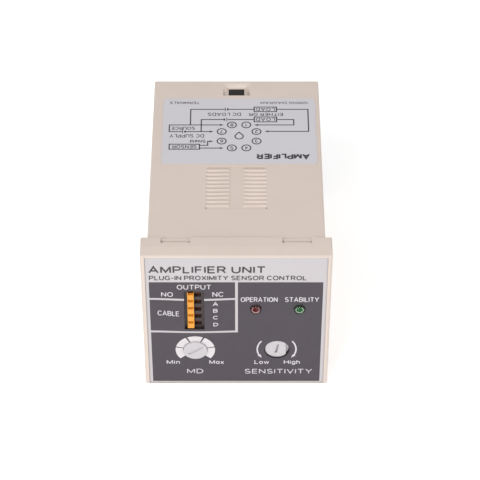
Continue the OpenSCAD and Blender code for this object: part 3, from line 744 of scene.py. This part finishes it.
def slider(pole):
    """The slider of one pole, with painted shade: a darker orange in its head's recess and a dark brown on
    the foot inside the switch.
    """
    margin = 0.2 * MM
    recess_height = 0.9 * MM
    piece = rounded("slider_" + pole, 0.09, 2)
    piece.data.materials.append(ORANGE_PAINTED_SHADE)
    piece.data.materials.append(SLIDER_FOOT_PAINTED_SHADE)
    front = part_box("slider_" + pole)[0].y
    switch_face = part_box("switch_body")[0].y
    head = [v.co for v in piece.data.vertices if v.co.y < switch_face - margin]
    left, right = min(v.x for v in head), max(v.x for v in head)
    top = max(v.z for v in head)
    for side in piece.data.polygons:
        x, y, z = side.center
        inside = left + margin < x < right - margin and top - recess_height < z < top - 0.01 * MM
        # Painted shade: the foot inside the switch and the recess in the head are coloured as if in shadow.
        if y > switch_face:
            side.material_index = 2
        elif inside and y > front + 0.05 * MM:
            side.material_index = 1


# ---------- lamps

def turned(name, profile, centre, material, slot, steps=40):
    """A closed solid of revolution about an axis along Y, from a list of (radius, y) in millimetres."""
    work = bmesh.new()
    rings = []
    for radius, y in profile:
        if radius < 1e-6:
            rings.append([work.verts.new((centre[0] * MM, y * MM, centre[1] * MM))] * steps)
        else:
            places = circle(centre, radius, steps)
            rings.append([work.verts.new((u * MM, y * MM, v * MM)) for u, v in places])
    for a, b in zip(rings, rings[1:] + rings[:1]):
        for k in range(steps):
            corners = [a[k - 1], a[k], b[k], b[k - 1]]
            corners = [v for i, v in enumerate(corners) if v not in corners[:i]]
            if len(corners) > 2:
                work.faces.new(corners)
    bmesh.ops.recalc_face_normals(work, faces=work.faces)
    for face in work.faces:
        face.smooth = True
    mesh = bpy.data.meshes.new(name)
    work.to_mesh(mesh)
    work.free()
    return new_piece(name, mesh, material)


LENS_RADIUS = 1.45
FLANGE_WIDTH = 0.3
FLANGE_DEPTH = 0.9
RING_GAP = 38  # half the ring's opening, in degrees, at the top; the open U with the post in it is a painted highlight copying the lens's reflection ring and dot


def in_lamp(u, v, lift):
    """A point inside a lamp: u to the right and v up, in metres, lift in front of the nameplate."""
    return Vector((u, FILM_Y - lift, v))


def lamp(node, centre, resin, inside):
    """A domed resin lens over a dark holder, with the open ring of its lead frame and a post in the gap;
    their pale colour and the open U with a dot at its top are a painted highlight of the lens's reflection
    ring.
    """
    slot = SLOT_OF[node]
    foot = FILM_Y / MM
    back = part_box(node)[1].y / MM
    turns = [math.radians(t) for t in range(9, 91, 9)]
    dome = [(LENS_RADIUS * math.sin(t), foot - LENS_RADIUS * math.cos(t)) for t in turns]
    flange = LENS_RADIUS + FLANGE_WIDTH
    step = back - FLANGE_DEPTH
    profile = [
        (0, foot - LENS_RADIUS), *dome, (LENS_RADIUS, step), (flange, step), (flange, back), (0, back)]
    lens = turned(node + "_lens", profile, centre, resin, slot)
    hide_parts(node)
    pieces = [
        # Painted highlight: the pale open ring and the post copy the lens's reflection ring and the dot at
        # its top.
        ("ring", sector(centre, 0.7, 0.83, 90 + RING_GAP, 450 - RING_GAP), 0.22, FRAME_AND_PAINTED_HIGHLIGHT),
        ("post", circle((centre[0], centre[1] + 0.82), 0.1, 16), 0.25, FRAME_AND_PAINTED_HIGHLIGHT),
        ("floor", circle(centre, 0.66, 40), 0.16, inside),
        ("holder", circle(centre, 1.4, 40), 0.1, BLACK)]
    for what, outline, high, material in pieces:
        laid(node + "_" + what, filled([outline]), in_lamp, 0.02 * MM, high * MM, material)


# ---------- assembly

RECESS_DEPTH = 0.5 * MM  # of the nameplate's seat in the bezel


def assemble():
    """Makes every visible piece and gives every CAD node its finish."""
    bezel_middle = (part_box("nameplate")[1].y - RECESS_DEPTH) / 2
    rounded("front_bezel", 0.13, crease_y=bezel_middle)
    rounded("rear_case", 0.15)
    rounded("plug_base", 0.2)
    rounded("switch_body", 0.06, 2)
    rounded("md_knob", 0.12)
    rounded("sensitivity_knob", 0.12)
    for pole in POLES:
        slider(pole)
    for node, shape in frame["nodes"].items():
        paint(shape, FINISH[SLOT_OF[node]])
    lamp("lamp_operation", LAMPS[0], RED, DEEP_RED)
    lamp("lamp_stability", LAMPS[1], GREEN, DEEP_GREEN)
    nameplate()
    dark_fields()
    front_words()
    dial_scale()
    turn_arrows()
    wiring_label()
    pin_marks()
    wiring_diagram()


# ---------- floor, light and camera

CASE_LENGTH = 63 * MM
FLOOR_REACH = 4.0


def floor():
    """A pale floor, a little bright of itself, that the bezel's and the case's lower edges rest on."""
    front_rest = Vector((0, 0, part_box("front_bezel")[0].z))
    case_low = -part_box("wiring_label")[0].z
    rear_rest = Vector((0, CASE_LENGTH, case_low))
    tilt = math.atan2(rear_rest.z - front_rest.z, rear_rest.y - front_rest.y)
    mesh = bpy.data.meshes.new("floor")
    corners = [(x * FLOOR_REACH, y * FLOOR_REACH, 0) for x, y in ((-1, -1), (1, -1), (1, 1), (-1, 1))]
    mesh.from_pydata(corners, [], [(0, 1, 2, 3)])
    plane = bpy.data.objects.new("floor", mesh)
    bpy.context.scene.collection.objects.link(plane)
    plane.matrix_world = Matrix.Translation(front_rest) @ Matrix.Rotation(tilt, 4, "X")
    material, tree, shader = new_material("floor", (0.93, 0.93, 0.93), 0.8, Emission_Strength=0.3)
    shader.inputs["Emission Color"].default_value = (1, 1, 1, 1)
    patches = ramp(tree, noise(tree, 60, 2), [(0.3, (0.92,) * 3), (0.7, (0.94,) * 3)])
    tree.links.new(patches, shader.inputs["Base Color"])
    paint(plane, material)


def soft_light(name, place, size, power):
    """A square white light that points at the origin."""
    light = bpy.data.lights.new(name, "AREA")
    light.shape = "SQUARE"
    light.size = size
    light.energy = power
    holder = bpy.data.objects.new(name, light)
    holder.location = place
    holder.rotation_euler = (-Vector(place)).to_track_quat("-Z", "Y").to_euler()
    bpy.context.scene.collection.objects.link(holder)


def studio():
    """An even white surround, with a key light from the left and a weaker one from the right."""
    world = bpy.data.worlds.new("studio")
    world.use_nodes = True
    background = world.node_tree.nodes["Background"]
    background.inputs["Color"].default_value = (1, 1, 1, 1)
    background.inputs["Strength"].default_value = 0.62
    bpy.context.scene.world = world
    soft_light("key", (-0.5, -0.75, 0.85), 0.5, 9)
    soft_light("fill", (0.55, -0.6, 0.75), 0.7, 3.4)
    bpy.context.scene.view_settings.view_transform = "Standard"


CAMERA_RIGHT = 0.94 * MM
CAMERA_AHEAD = 345.5 * MM
CAMERA_HEIGHT = 366.5 * MM
CAMERA_TURN = math.radians(45.724)
FOCAL_LENGTH = 147.3


def camera():
    """Looks down at the front from half a metre away, a little right of its middle."""
    data = bpy.data.cameras.new("camera")
    data.sensor_width = 36
    data.lens = FOCAL_LENGTH
    data.clip_start = 0.01
    eye = bpy.data.objects.new("camera", data)
    eye.location = (CAMERA_RIGHT, FRONT_Y - CAMERA_AHEAD, CAMERA_HEIGHT)
    eye.rotation_euler = (CAMERA_TURN, 0, 0)
    bpy.context.scene.collection.objects.link(eye)
    bpy.context.scene.camera = eye


camera()
assemble()
floor()
studio()
